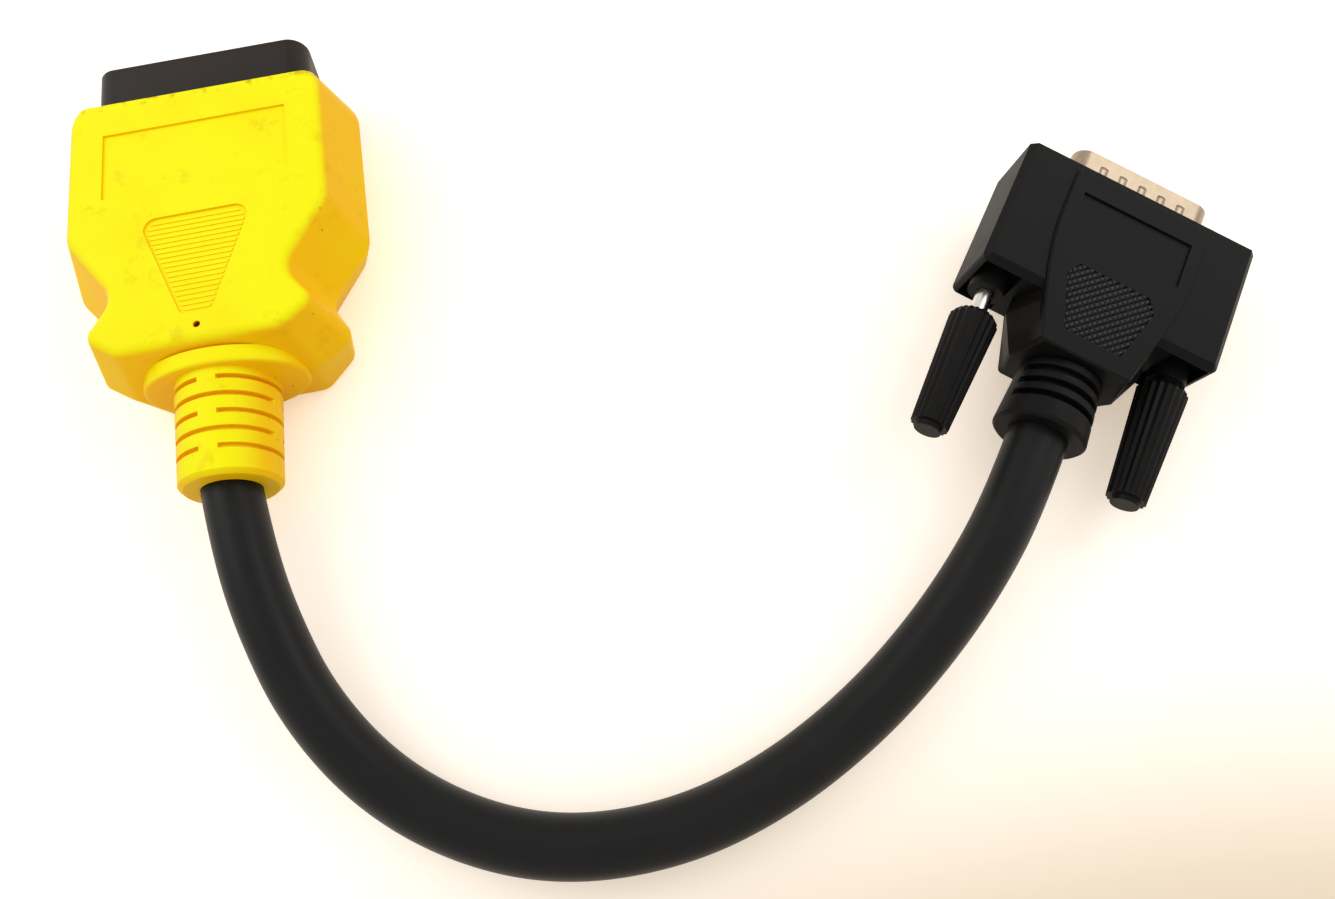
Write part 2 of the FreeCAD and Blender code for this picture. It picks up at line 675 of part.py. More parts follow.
def hood_panel():
    outline = (
        (HOOD_PANEL_HALF, HOOD_PANEL_FRONT, HOOD_PANEL_CORNER),
        (HOOD_PANEL_HALF, HOOD_LENGTH - HOOD_PANEL_BEND_AHEAD, HOOD_PANEL_BEND_RADIUS),
        (HOOD_PANEL_REAR_HALF, HOOD_LENGTH, HOOD_PANEL_CORNER),
    )
    upper = prism(plan_wire(outline, 0, HOOD_MIDDLE), UP * (HOOD_THICKNESS - HOOD_MIDDLE))
    return upper.makeChamfer(HOOD_PANEL_CHAMFER, edges_at_height(upper, HOOD_THICKNESS))


def hood_recesses():
    floor = HOOD_THICKNESS - HOOD_RECESS_DEPTH
    corner = vector(-HOOD_LABEL_HALF, -HOOD_LABEL_BACK - HOOD_LABEL_LENGTH, floor)
    label = Part.makeBox(2 * HOOD_LABEL_HALF, HOOD_LABEL_LENGTH, HOOD_RECESS_DEPTH, corner)
    pad_outline = [(half, HOOD_LENGTH - ahead, HOOD_PAD_CORNER) for half, ahead in HOOD_PAD]
    pad = prism(plan_wire(pad_outline, 0, floor), UP * HOOD_RECESS_DEPTH)
    return [label, pad]


def hood_screw_way(side):
    # Pocket, boss and stepped bore of one captive screw: what is added, then what is cut
    x = side * SCREW_X
    pocket = Part.makeBox(
        2 * HOOD_POCKET_HALF_WIDTH,
        HOOD_POCKET_DEPTH,
        2 * HOOD_POCKET_HALF_HEIGHT,
        vector(x - HOOD_POCKET_HALF_WIDTH, -HOOD_WING_LENGTH, HOOD_MIDDLE - HOOD_POCKET_HALF_HEIGHT),
    )
    boss_end = -HOOD_WING_LENGTH - HOOD_BOSS_PROUD
    boss = rod(HOOD_BOSS_RADIUS, boss_end, HOOD_POCKET_DEPTH - HOOD_WING_LENGTH, x, HOOD_MIDDLE)
    bore = rod(SHANK_RADIUS + SHANK_CLEARANCE, boss_end, 0, x, HOOD_MIDDLE)
    chamber_front = CLIP_END_GAP - CLIP_PLACE
    chamber_rear = -CLIP_PLACE - CLIP_THICKNESS - SCREW_TRAVEL - CLIP_END_GAP
    chamber = rod(CLIP_CHAMBER_RADIUS, chamber_rear, chamber_front, x, HOOD_MIDDLE)
    return pocket, boss, [bore, chamber]


def d_relief():
    # Relief that widens to a plain end ring, with slots above and below and webs at its sides
    profile = (
        (0, D_RELIEF_FRONT_Y + D_RELIEF_COLLAR_LENGTH),
        (D_RELIEF_COLLAR_RADIUS, D_RELIEF_FRONT_Y + D_RELIEF_COLLAR_LENGTH),
        (D_RELIEF_COLLAR_RADIUS, D_RELIEF_FRONT_Y),
        (D_RELIEF_NECK_RADIUS, D_RELIEF_FRONT_Y),
        (D_RELIEF_END_RADIUS, D_RELIEF_END_Y + D_RELIEF_END_EDGE),
        (D_RELIEF_END_RADIUS - D_RELIEF_END_EDGE, D_RELIEF_END_Y),
        (0, D_RELIEF_END_Y),
    )
    relief = revolved(profile, 0, HOOD_MIDDLE)
    reach = 2 * D_RELIEF_END_RADIUS
    for i in range(D_RELIEF_SLOTS):
        front = D_RELIEF_FRONT_Y - D_RELIEF_SLOT_FIRST - i * D_RELIEF_SLOT_PITCH
        width = D_RELIEF_SLOT_WIDTH
        slot = slot_ring(front, width, D_RELIEF_FLOOR_RADIUS, reach, HOOD_MIDDLE, D_RELIEF_WEB, False)
        relief = relief.cut(slot)
    return relief


def jackscrew(side, pulled):
    # Steel screw: threaded end, relieved neck, clip groove and plain shank into the grip
    x = side * SCREW_X
    groove_front = CLIP_RUNNING - CLIP_PLACE
    groove_rear = -CLIP_PLACE - CLIP_THICKNESS - CLIP_RUNNING
    shank_end = GRIP_NOSE_Y - SHANK_IN_GRIP
    shank_front = SHANK_AHEAD_OF_CLIP - CLIP_PLACE
    profile = (
        (0, SCREW_OUT),
        (THREAD_RADIUS - THREAD_CHAMFER, SCREW_OUT),
        (THREAD_RADIUS, SCREW_OUT - THREAD_CHAMFER),
        (THREAD_RADIUS, THREAD_REAR),
        (NECK_RADIUS, THREAD_REAR),
        (NECK_RADIUS, shank_front),
        (SHANK_RADIUS, shank_front),
        (SHANK_RADIUS, groove_front),
        (CLIP_GROOVE_RADIUS, groove_front),
        (CLIP_GROOVE_RADIUS, groove_rear),
        (SHANK_RADIUS, groove_rear),
        (SHANK_RADIUS, shank_end),
        (0, shank_end),
    )
    return revolved([(radius, y - pulled) for radius, y in profile], x, HOOD_MIDDLE)


def retaining_clip(side, pulled):
    # Open ring that is snapped into the screw's groove and slides in the hood's chamber
    x = side * SCREW_X
    front = -CLIP_PLACE - pulled
    rear = front - CLIP_THICKNESS
    bore_radius = CLIP_GROOVE_RADIUS + CLIP_RUNNING
    ring = rod(CLIP_RADIUS, rear, front, x, HOOD_MIDDLE).cut(rod(bore_radius, rear, front, x, HOOD_MIDDLE))
    mouth_corner = vector(x - CLIP_MOUTH / 2, rear, HOOD_MIDDLE - CLIP_RADIUS)
    return ring.cut(Part.makeBox(CLIP_MOUTH, CLIP_THICKNESS, CLIP_RADIUS, mouth_corner))


def ribbed_wire(radius, x, y):
    points = []
    for i in range(2 * HEAD_RIBS):
        reach = radius if i % 2 == 0 else radius - HEAD_RIB_DEPTH
        angle = math.pi * i / HEAD_RIBS
        points.append(vector(x + reach * math.cos(angle), y, HOOD_MIDDLE + reach * math.sin(angle)))
    return Part.makePolygon(points + [points[0]])


def thumb_grip(side, pulled):
    # Ribbed tapering grip moulded round the screw's shank
    x = side * SCREW_X
    front = GRIP_NOSE_Y - pulled
    rear = front - HEAD_LENGTH
    sections = [
        ribbed_wire(HEAD_NOSE_RADIUS, x, front),
        ribbed_wire(HEAD_RADIUS, x, front - HEAD_NOSE_LENGTH),
        ribbed_wire(HEAD_REAR_RADIUS, x, rear),
    ]
    grip = Part.makeLoft(sections, True, True)
    tip = rod(HEAD_TIP_RADIUS, rear - HEAD_TIP_LENGTH, rear, x, HOOD_MIDDLE)
    return grip.fuse(tip).cut(rod(SHANK_RADIUS, front - SHANK_IN_GRIP, front, x, HOOD_MIDDLE))


def d_placement():
    # Rolled about its mating axis until the lower right edge of the hood's wings lies on the table
    roll = math.radians(D_ROLL)
    edge_x = HOOD_HALF_WIDTH - HOOD_WING_CHAMFER
    height = (WING_TOP - HOOD_MIDDLE) * math.cos(roll) + edge_x * math.sin(roll)
    turned = FreeCAD.Rotation(UP, D_TURN).multiply(FreeCAD.Rotation(AHEAD, D_ROLL))
    on_table = FreeCAD.Placement(vector(D_PLACE_X, D_PLACE_Y, height), turned)
    return on_table.multiply(FreeCAD.Placement(vector(0, 0, -HOOD_MIDDLE), FreeCAD.Rotation()))


def d_connector():
    upper_places = pin_places(UPPER_PINS, 1)
    lower_places = pin_places(LOWER_PINS, -1)
    upper_pins = [pin(x, z) for x, z in upper_places]
    lower_pins = [pin(x, z) for x, z in lower_places]
    pins = upper_pins + lower_pins

    tail = rod(CABLE_RADIUS, D_RELIEF_END_Y, D_FILL_REAR_Y, 0, HOOD_MIDDLE)
    targets = upper_places[::2] + lower_places[::-2]
    d_cores = cores(D_FILL_REAR_Y, -INSULATOR_REAR - CUP_LENGTH, HOOD_MIDDLE, targets)

    fill = rounded_block(
        D_FILL_HALF_WIDTH, D_FILL_HEIGHT, D_FILL_REAR_Y, -INSULATOR_REAR, HOOD_MIDDLE, FILL_CORNER
    )
    front_insulator = without(d_prism(D_WALL, D_FRONT_REAR_Y, INSULATOR_FRONT), *pins)
    rear_insulator = without(d_prism(D_WALL, -INSULATOR_REAR, D_FRONT_REAR_Y), *pins)
    relief = d_relief()

    half = hood_wings().fuse([hood_block(), hood_panel()])
    hood = half.fuse(mirrored_down(half, HOOD_MIDDLE)).removeSplitter()
    hood = without(hood, *hood_recesses())
    for side in (-1, 1):
        pocket, boss, bores = hood_screw_way(side)
        hood = without(hood.cut(pocket).fuse(boss), *bores)
    flanges = rounded_block(
        FLANGE_WIDTH / 2, FLANGE_HEIGHT, D_BACK_REAR_Y, 0, HOOD_MIDDLE, FLANGE_CORNER
    )
    cup = d_prism(0, -INSULATOR_REAR, 0)
    hood = without(hood, flanges, cup, fill, relief, tail)

    pieces = {
        "hood_overmould": hood,
        "hood_strain_relief": relief.cut(tail),
        "d_front_shell": front_shell(),
        "d_rear_shell": rear_shell(),
        "d_front_insulator": front_insulator,
        "d_rear_insulator": rear_insulator,
        "d_pins_upper": group(upper_pins),
        "d_pins_lower": group(lower_pins),
        "hood_inner_filling": without(fill, *pins, *d_cores),
        "hood_core_wires": group(d_cores),
        "hood_cable_end": tail,
    }
    for name, side, pulled in (("left", -1, SCREW_TRAVEL), ("right", 1, 0)):
        pieces[name + "_jackscrew"] = jackscrew(side, pulled)
        pieces[name + "_retaining_clip"] = retaining_clip(side, pulled)
        pieces[name + "_thumb_grip"] = thumb_grip(side, pulled)
    place = d_placement()
    for name in pieces:
        pieces[name] = placed(pieces[name], place)
    return pieces, place


# Cable, along straight runs joined by tangent arcs


def cable_route(place):
    start = vector(0, RELIEF_END_Y, PLUG_MIDDLE)
    end = place.multVec(vector(0, D_RELIEF_END_Y, HOOD_MIDDLE))
    last = place.multVec(vector(0, D_RELIEF_END_Y - ROUTE_LAST_RUN, HOOD_MIDDLE))
    return [start] + [vector(*point) for point in ROUTE_POINTS] + [last, end]


def cable_tube(place):
    points = cable_route(place)
    edges = []
    radii = []
    at = points[0]
    for i in range(1, len(points) - 1):
        before = points[i - 1] - points[i]
        after = points[i + 1] - points[i]
        turn = math.pi - before.getAngle(after)
        reach = ROUTE_ARC_SHARE * min(before.Length, after.Length)
        radius = reach / math.tan(turn / 2)
        radii.append(radius)
        back = vector(*before).normalize()
        onward = vector(*after).normalize()
        inward = (back + onward).normalize()
        middle = points[i] + inward * (radius / math.cos(turn / 2) - radius)
        edges.append(Part.LineSegment(at, points[i] + back * reach).toShape())
        edges.append(Part.Arc(points[i] + back * reach, middle, points[i] + onward * reach).toShape())
        at = points[i] + onward * reach
    edges.append(Part.LineSegment(at, points[-1]).toShape())
    path = Part.Wire(edges)
    section = Part.Wire(Part.makeCircle(CABLE_RADIUS, points[0], AHEAD))
    tube = path.makePipeShell([section], True, False)
    print("cable bend radii:", ", ".join("%.0f" % radius for radius in radii))
    expected = math.pi * CABLE_RADIUS ** 2 * path.Length
    print("cable length %.1f, volume %.1f, section times length %.1f" % (path.Length, tube.Volume, expected))
    return tube


os.makedirs("parts", exist_ok=True)
nodes = diagnostic_plug()
d_nodes, d_place = d_connector()
nodes.update(d_nodes)
nodes["cable"] = cable_tube(d_place)
for name, shape in nodes.items():
    box = shape.BoundBox
    print("%-20s valid %s, solids %d, faces %d, volume %.1f, z %.2f to %.2f" % (
        name, shape.isValid(), len(shape.Solids), len(shape.Faces), shape.Volume, box.ZMin, box.ZMax))
    shape.exportStep("parts/" + name + ".step")
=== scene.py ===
import math

import bmesh
import bpy
from mathutils import Matrix, Vector


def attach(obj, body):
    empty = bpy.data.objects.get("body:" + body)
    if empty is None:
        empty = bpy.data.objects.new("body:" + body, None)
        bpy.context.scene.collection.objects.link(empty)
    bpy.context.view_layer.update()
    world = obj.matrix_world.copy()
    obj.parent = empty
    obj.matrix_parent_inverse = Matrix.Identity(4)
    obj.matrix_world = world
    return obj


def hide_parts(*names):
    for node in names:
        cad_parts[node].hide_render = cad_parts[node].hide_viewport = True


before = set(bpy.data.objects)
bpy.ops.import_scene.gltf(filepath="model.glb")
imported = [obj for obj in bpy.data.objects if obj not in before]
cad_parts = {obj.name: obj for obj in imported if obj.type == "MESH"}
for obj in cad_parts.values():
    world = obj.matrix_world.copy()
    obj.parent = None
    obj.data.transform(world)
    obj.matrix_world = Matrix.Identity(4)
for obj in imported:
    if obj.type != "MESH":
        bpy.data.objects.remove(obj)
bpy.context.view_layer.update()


# Yellow moulded body of the diagnostic plug. Soft PVC is shot round the finished shroud, blades and cable,
# so it is one skin with small radii on every edge, a fine grain from the mould, and grime from use.

MM = 0.001
YELLOW_EDGE = 0.25 * MM
YELLOW_FRONT = 25.0 * MM
YELLOW_TOP = 22.0 * MM
FRONT_SCUFF_LENGTH = 1.6 * MM
VENT_Y = -23.0 * MM
VENT_DEPTH = 1.4 * MM
VENT_DARK_RADIUS = 1.3 * MM
RUB_PLACE = (19.6 * MM, -6.2 * MM, 12.6 * MM)
RUB_RADIUS = 4.2 * MM
RUB_SLANT = math.radians(40)
SAME_POINT = 0.0005 * MM
SAME_PLANE = math.radians(0.6)
SOFT_EDGE_WEIGHT = 60


def linear(hex_colour):
    # sRGB hex to the linear colour that a shader socket takes
    channels = [int(hex_colour[i:i + 2], 16) / 255 for i in (1, 3, 5)]
    return [c / 12.92 if c <= 0.04045 else ((c + 0.055) / 1.055) ** 2.4 for c in channels] + [1.0]


def blank(name):
    # A material with no nodes yet
    material = bpy.data.materials.new(name)
    material.use_nodes = True
    material.node_tree.nodes.clear()
    return material


def add(material, kind, sockets=None, **settings):
    # One node with its settings. A socket is given a value, or the output that feeds it
    node = material.node_tree.nodes.new("ShaderNode" + kind)
    for name, value in settings.items():
        setattr(node, name, value)
    for name, value in (sockets or {}).items():
        if isinstance(value, bpy.types.NodeSocket):
            material.node_tree.links.new(value, node.inputs[name])
        else:
            node.inputs[name].default_value = value
    return node


def piece(form, name):
    # The object of a finished form, smooth shaded, with none of the frame's own normals and finishes
    mesh = bpy.data.meshes.new(name)
    form.to_mesh(mesh)
    form.free()
    if "custom_normal" in mesh.attributes:
        mesh.attributes.remove(mesh.attributes["custom_normal"])
    mesh.materials.clear()
    mesh.shade_smooth()
    made = bpy.data.objects.new(name, mesh)
    bpy.context.scene.collection.objects.link(made)
    return made


def keep_flats(made, weight):
    # Flat faces keep their own normal, so that only the rounded edges shade
    weighted = made.modifiers.new("flat faces stay flat", "WEIGHTED_NORMAL")
    weighted.weight = weight
    weighted.keep_sharp = True


def eased(cad_name, name, edge, sharp=28):
    # A copy of a moulding with its edges of more than sharp degrees rounded, as a mould leaves them
    form = bmesh.new()
    form.from_mesh(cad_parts[cad_name].data)
    bmesh.ops.remove_doubles(form, verts=form.verts, dist=SAME_POINT)
    bmesh.ops.dissolve_limit(form, angle_limit=SAME_PLANE, verts=form.verts, edges=form.edges)
    corners = [e for e in form.edges if e.is_manifold and e.calc_face_angle() > math.radians(sharp)]
    bmesh.ops.bevel(form, geom=corners, offset=edge, offset_type="OFFSET", segments=2, profile=0.5,
                    affect="EDGES", clamp_overlap=True, material=-1)
    made = piece(form, name)
    keep_flats(made, SOFT_EDGE_WEIGHT)
    return made


def fit(made, body, slot, material, *cad_nodes):
    # The piece takes its finish, rides on its body and stands for its solids
    made.data.materials.append(material)
    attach(made, body)
    if cad_nodes:
        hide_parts(*cad_nodes)
    return made


# Injection-moulded soft PVC. Painted light and shade: faces that look up are painted lemon, while the sides,
# the finger scoops and the relief are painted the deeper yellow of shaded faces. Satin, never glossy
yellow_pvc = blank("Moulded yellow PVC")
spot = add(yellow_pvc, "TexCoord").outputs["Object"]
# Painted light and shade by the way each face points: lemon on top, deeper yellow on the sides
height = add(yellow_pvc, "SeparateXYZ", {"Vector": add(yellow_pvc, "NewGeometry").outputs["Normal"]})
painted_light_by_facing = add(yellow_pvc, "MapRange", {"Value": height.outputs["Z"], "From Min": 0.35, "From Max": 0.97},
             interpolation_type="SMOOTHSTEP")
cloud = add(yellow_pvc, "TexNoise", {"Vector": spot, "Scale": 1 / (14 * MM), "Detail": 3.0})
painted_light_yellow = add(yellow_pvc, "Mix", {0: painted_light_by_facing.outputs[0], 6: linear("#FFC203"), 7: linear("#FFF803")},
           data_type="RGBA")
faded = add(yellow_pvc, "MapRange", {"Value": cloud.outputs["Fac"], "From Min": 0.42, "From Max": 0.75,
                                     "To Max": 0.35})
aged = add(yellow_pvc, "Mix", {0: faded.outputs[0], 6: painted_light_yellow.outputs[2], 7: linear("#FFDF00")},
           data_type="RGBA")
# Finger grime: soft brownish smudges, and grit that has bedded into the soft surface
smudge = add(yellow_pvc, "TexNoise", {"Vector": spot, "Scale": 1 / (6 * MM), "Detail": 6.0,
                                      "Roughness": 0.7})
smudged = add(yellow_pvc, "MapRange", {"Value": smudge.outputs["Fac"], "From Min": 0.58, "From Max": 0.78,
                                       "To Max": 0.45})
grimy = add(yellow_pvc, "Mix", {0: smudged.outputs[0], 6: aged.outputs[2], 7: linear("#E39A04")},
            data_type="RGBA")
grit = add(yellow_pvc, "TexVoronoi", {"Vector": spot, "Scale": 1 / (3.2 * MM), "Randomness": 1.0})
grit_dot = add(yellow_pvc, "MapRange", {"Value": grit.outputs["Distance"], "From Min": 0.06,
                                        "From Max": 0.04})
grit_where = add(yellow_pvc, "TexNoise", {"Vector": spot, "Scale": 1 / (11 * MM), "Detail": 2.0})
grit_few = add(yellow_pvc, "MapRange", {"Value": grit_where.outputs["Fac"], "From Min": 0.55, "From Max": 0.6,
                                        "To Max": 0.65})
gritty = add(yellow_pvc, "Math", {0: grit_dot.outputs[0], 1: grit_few.outputs[0]}, operation="MULTIPLY")
specked = add(yellow_pvc, "Mix", {0: gritty.outputs[0], 6: grimy.outputs[2], 7: linear("#5E4410")},
              data_type="RGBA")
# The front edge is scuffed brown by sockets
along = add(yellow_pvc, "SeparateXYZ", {"Vector": spot})
near_front = add(yellow_pvc, "MapRange", {"Value": along.outputs["Y"],
                                          "From Min": YELLOW_FRONT - FRONT_SCUFF_LENGTH,
                                          "From Max": YELLOW_FRONT - 0.2 * MM})
chip = add(yellow_pvc, "TexNoise", {"Vector": spot, "Scale": 1 / (1.6 * MM), "Detail": 4.0})
chipped = add(yellow_pvc, "MapRange", {"Value": chip.outputs["Fac"], "From Min": 0.5, "From Max": 0.62,
                                       "To Max": 0.6})
front_scuff = add(yellow_pvc, "Math", {0: near_front.outputs[0], 1: chipped.outputs[0]},
                  operation="MULTIPLY")
worn = add(yellow_pvc, "Mix", {0: front_scuff.outputs[0], 6: specked.outputs[2], 7: linear("#B8780C")},
           data_type="RGBA")
# A dark rub of slanting lines in the right finger scoop
rub_far = add(yellow_pvc, "VectorMath", {0: spot, 1: RUB_PLACE}, operation="DISTANCE")
rub_near = add(yellow_pvc, "MapRange", {"Value": rub_far.outputs["Value"], "From Min": RUB_RADIUS,
                                        "From Max": 1.0 * MM})
rub_turned = add(yellow_pvc, "Mapping", {"Vector": spot, "Rotation": (0, 0, RUB_SLANT),
                                         "Scale": (1.0, 0.16, 1.0)})
rub_lines = add(yellow_pvc, "TexNoise", {"Vector": rub_turned.outputs[0], "Scale": 1 / (0.9 * MM),
                                         "Detail": 3.0})
rub_dark = add(yellow_pvc, "MapRange", {"Value": rub_lines.outputs["Fac"], "From Min": 0.5, "From Max": 0.66,
                                        "To Max": 0.85})
rub = add(yellow_pvc, "Math", {0: rub_near.outputs[0], 1: rub_dark.outputs[0]}, operation="MULTIPLY")
rubbed = add(yellow_pvc, "Mix", {0: rub.outputs[0], 6: worn.outputs[2], 7: linear("#4A3510")},
             data_type="RGBA")
# A darker rust-orange at the bottom of the vent hole
vent_far = add(yellow_pvc, "VectorMath", {0: spot, 1: (0, VENT_Y, YELLOW_TOP - VENT_DEPTH)},
               operation="DISTANCE")
vent_in = add(yellow_pvc, "MapRange", {"Value": vent_far.outputs["Value"], "From Min": VENT_DARK_RADIUS,
                                       "From Max": 1.1 * MM})
vent_bottom_darkened = add(yellow_pvc, "Mix", {0: vent_in.outputs[0], 6: rubbed.outputs[2], 7: linear("#9A3B0C")},
            data_type="RGBA")
# The grain of the mould is drawn as coarse as 0.3 mm, because the real one is too fine to show
grain = add(yellow_pvc, "TexNoise", {"Vector": spot, "Scale": 1 / (0.3 * MM), "Detail": 2.0})
relief = add(yellow_pvc, "Bump", {"Height": grain.outputs["Fac"], "Strength": 0.12, "Distance": 0.06 * MM})
sheen = add(yellow_pvc, "MapRange", {"Value": cloud.outputs["Fac"], "To Min": 0.42, "To Max": 0.58})
yellow_surface = add(yellow_pvc, "BsdfPrincipled", {
    "Base Color": vent_bottom_darkened.outputs[2], "Roughness": sheen.outputs[0], "IOR": 1.53, "Specular IOR Level": 0.1,
    "Normal": relief.outputs[0]})
add(yellow_pvc, "OutputMaterial", {"Surface": yellow_surface.outputs[0]})

plug_body = eased("plug_overmould", "plug_moulded_body", YELLOW_EDGE)
fit(plug_body, "lead", "yellow_pvc", yellow_pvc, "plug_overmould")


# Yellow strain relief, shot with the body in the same soft PVC. Its five rows of slots let it bend with the
# cable, and its oval flange lies against the back of the body.

YELLOW_RELIEF_EDGE = 0.2 * MM

plug_relief = eased("plug_strain_relief", "plug_slotted_relief", YELLOW_RELIEF_EDGE)
fit(plug_relief, "lead", "yellow_pvc", yellow_pvc, "plug_strain_relief")


# Black shroud of the plug with the tongue between its rows of blades. Glass-filled nylon, moulded in a
# polished tool, so it is harder and slightly glossier than the soft black PVC of the other end.

SHROUD_EDGE = 0.2 * MM

# Glass-filled nylon: brown-black, fine even grain, soft highlights along the edges
black_nylon = blank("Moulded black nylon")
spot = add(black_nylon, "TexCoord").outputs["Object"]
flow = add(black_nylon, "TexNoise", {"Vector": spot, "Scale": 1 / (5 * MM), "Detail": 4.0})
tone = add(black_nylon, "MapRange", {"Value": flow.outputs["Fac"], "From Min": 0.35, "From Max": 0.7})
colour = add(black_nylon, "Mix", {0: tone.outputs[0], 6: linear("#1B120B"), 7: linear("#241A12")},
             data_type="RGBA")
gloss = add(black_nylon, "MapRange", {"Value": flow.outputs["Fac"], "To Min": 0.38, "To Max": 0.52})
grain = add(black_nylon, "TexNoise", {"Vector": spot, "Scale": 1 / (0.25 * MM), "Detail": 2.0})
relief = add(black_nylon, "Bump", {"Height": grain.outputs["Fac"], "Strength": 0.1, "Distance": 0.05 * MM})
surface = add(black_nylon, "BsdfPrincipled", {"Base Color": colour.outputs[2], "Roughness": gloss.outputs[0],
                                              "Specular IOR Level": 0.2, "Normal": relief.outputs[0]})
add(black_nylon, "OutputMaterial", {"Surface": surface.outputs[0]})

shroud = eased("plug_shroud", "plug_d_shroud", SHROUD_EDGE)
fit(shroud, "lead", "black_nylon", black_nylon, "plug_shroud")


# Sixteen flat blades in two rows, one on each side of the tongue. They are stamped from brass strip, tin
# plated, and pushed into the shroud's floor.

# Bright tin over brass: pale grey metal with drawing lines along each blade, drawn coarser than real ones
tinned_brass = blank("Tinned brass")
spot = add(tinned_brass, "TexCoord").outputs["Object"]
drawn = add(tinned_brass, "Mapping", {"Vector": spot, "Scale": (1.0, 0.05, 1.0)})
lines = add(tinned_brass, "TexNoise", {"Vector": drawn.outputs[0], "Scale": 1 / (0.12 * MM), "Detail": 2.0})
tone = add(tinned_brass, "Mix", {0: lines.outputs["Fac"], 6: linear("#B9B4A6"), 7: linear("#D8D3C6")},
           data_type="RGBA")
gloss = add(tinned_brass, "MapRange", {"Value": lines.outputs["Fac"], "To Min": 0.22, "To Max": 0.4})
surface = add(tinned_brass, "BsdfPrincipled", {"Base Color": tone.outputs[2], "Metallic": 1.0,
                                               "Roughness": gloss.outputs[0]})
add(tinned_brass, "OutputMaterial", {"Surface": surface.outputs[0]})


def finish_solid(material, *cad_names):
    # A solid whose own shape is right keeps it and gets its real finish
    for cad_name in cad_names:
        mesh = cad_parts[cad_name].data
        mesh.materials.clear()
        mesh.materials.append(material)


finish_solid(tinned_brass, "plug_blades_upper", "plug_blades_lower")


# Sealed inside both plugs: a plain moulded filling that holds the contacts, the cable's cut end and its
# cores, which fan out to their contacts. None of it shows from outside.

# Natural polyethylene: milky, waxy and slightly cloudy
polyethylene = blank("Natural polyethylene")
spot = add(polyethylene, "TexCoord").outputs["Object"]
cloud = add(polyethylene, "TexNoise", {"Vector": spot, "Scale": 1 / (4 * MM), "Detail": 3.0})
tone = add(polyethylene, "Mix", {0: cloud.outputs["Fac"], 6: linear("#D9D6C6"), 7: linear("#ECEADF")},
           data_type="RGBA")
surface = add(polyethylene, "BsdfPrincipled", {"Base Color": tone.outputs[2], "Roughness": 0.5,
                                               "IOR": 1.51})
add(polyethylene, "OutputMaterial", {"Surface": surface.outputs[0]})
finish_solid(polyethylene, "plug_inner_filling", "hood_inner_filling")

# Extruded core insulation: glossy red PVC with faint streaks along its length
core_pvc = blank("Extruded red core insulation")
spot = add(core_pvc, "TexCoord").outputs["Object"]
streak = add(core_pvc, "TexNoise", {"Vector": spot, "Scale": 1 / (0.8 * MM), "Detail": 2.0})
tone = add(core_pvc, "Mix", {0: streak.outputs["Fac"], 6: linear("#A8281E"), 7: linear("#C23A2C")},
           data_type="RGBA")
surface = add(core_pvc, "BsdfPrincipled", {"Base Color": tone.outputs[2], "Roughness": 0.3, "IOR": 1.53})
add(core_pvc, "OutputMaterial", {"Surface": surface.outputs[0]})
finish_solid(core_pvc, "plug_core_wires", "hood_core_wires")


# The cable: a round multicore lead with an extruded soft PVC jacket, laid in one open bend from plug to
# plug. It leaves the yellow plug level, sinks to the table, and rises into the D connector's relief.

CABLE_DIAMETER = 9.4 * MM
# The D connector's own frame has its flange's front at y = 0 and its underside at z = 0. It is turned, rolled
# about the middle of its shell, and set down where the cable brings it
D_FLANGE = Vector((155.9, -28.95, 10.65)) * MM
D_TURN = math.radians(-36.8)
D_ROLL = math.radians(10.7)
D_SHELL_HEIGHT = 7.7 * MM
D_RELIEF_BACK = 45.2 * MM
D_PLACE = (Matrix.Translation(D_FLANGE) @ Matrix.Rotation(D_TURN, 4, "Z") @ Matrix.Rotation(D_ROLL, 4, "Y")
           @ Matrix.Translation((0, 0, -D_SHELL_HEIGHT)))
CABLE_START = Vector((0, -48.0, 11.0)) * MM
CABLE_END = D_PLACE @ Vector((0, -D_RELIEF_BACK, D_SHELL_HEIGHT))
# Control points in millimetres
CABLE_ROUTE = [
    (1.6, -58.4, 11.0),
    (4.5, -70.7, 9.9),
    (9.3, -84.2, 7.7),
    (18.4, -97.1, 5.8),
    (30.9, -106.5, 4.8),
    (45.1, -111.7, 4.8),
    (61.3, -112.2, 4.8),
    (76.1, -108.6, 4.8),
    (90.3, -102.0, 5.3),
    (102.5, -93.8, 6.9),
    (113.1, -84.5, 9.2),
    (121.9, -74.7, 10.65),
]

# Extruded soft PVC: satin black with a faint lengthwise waviness and a little dust
cable_pvc = blank("Extruded black PVC jacket")
spot = add(cable_pvc, "TexCoord").outputs["Object"]
wave = add(cable_pvc, "TexNoise", {"Vector": spot, "Scale": 1 / (9 * MM), "Detail": 3.0})
tone = add(cable_pvc, "MapRange", {"Value": wave.outputs["Fac"], "From Min": 0.35, "From Max": 0.7})
colour = add(cable_pvc, "Mix", {0: tone.outputs[0], 6: linear("#070706"), 7: linear("#0C0B0A")},
             data_type="RGBA")
dust = add(cable_pvc, "TexVoronoi", {"Vector": spot, "Scale": 1 / (2.6 * MM)})
dust_dot = add(cable_pvc, "MapRange", {"Value": dust.outputs["Distance"], "From Min": 0.05, "From Max": 0.03,
                                       "To Max": 0.5})
dusted = add(cable_pvc, "Mix", {0: dust_dot.outputs[0], 6: colour.outputs[2], 7: linear("#3E3A33")},
             data_type="RGBA")
gloss = add(cable_pvc, "MapRange", {"Value": wave.outputs["Fac"], "To Min": 0.36, "To Max": 0.5})
grain = add(cable_pvc, "TexNoise", {"Vector": spot, "Scale": 1 / (0.35 * MM), "Detail": 2.0})
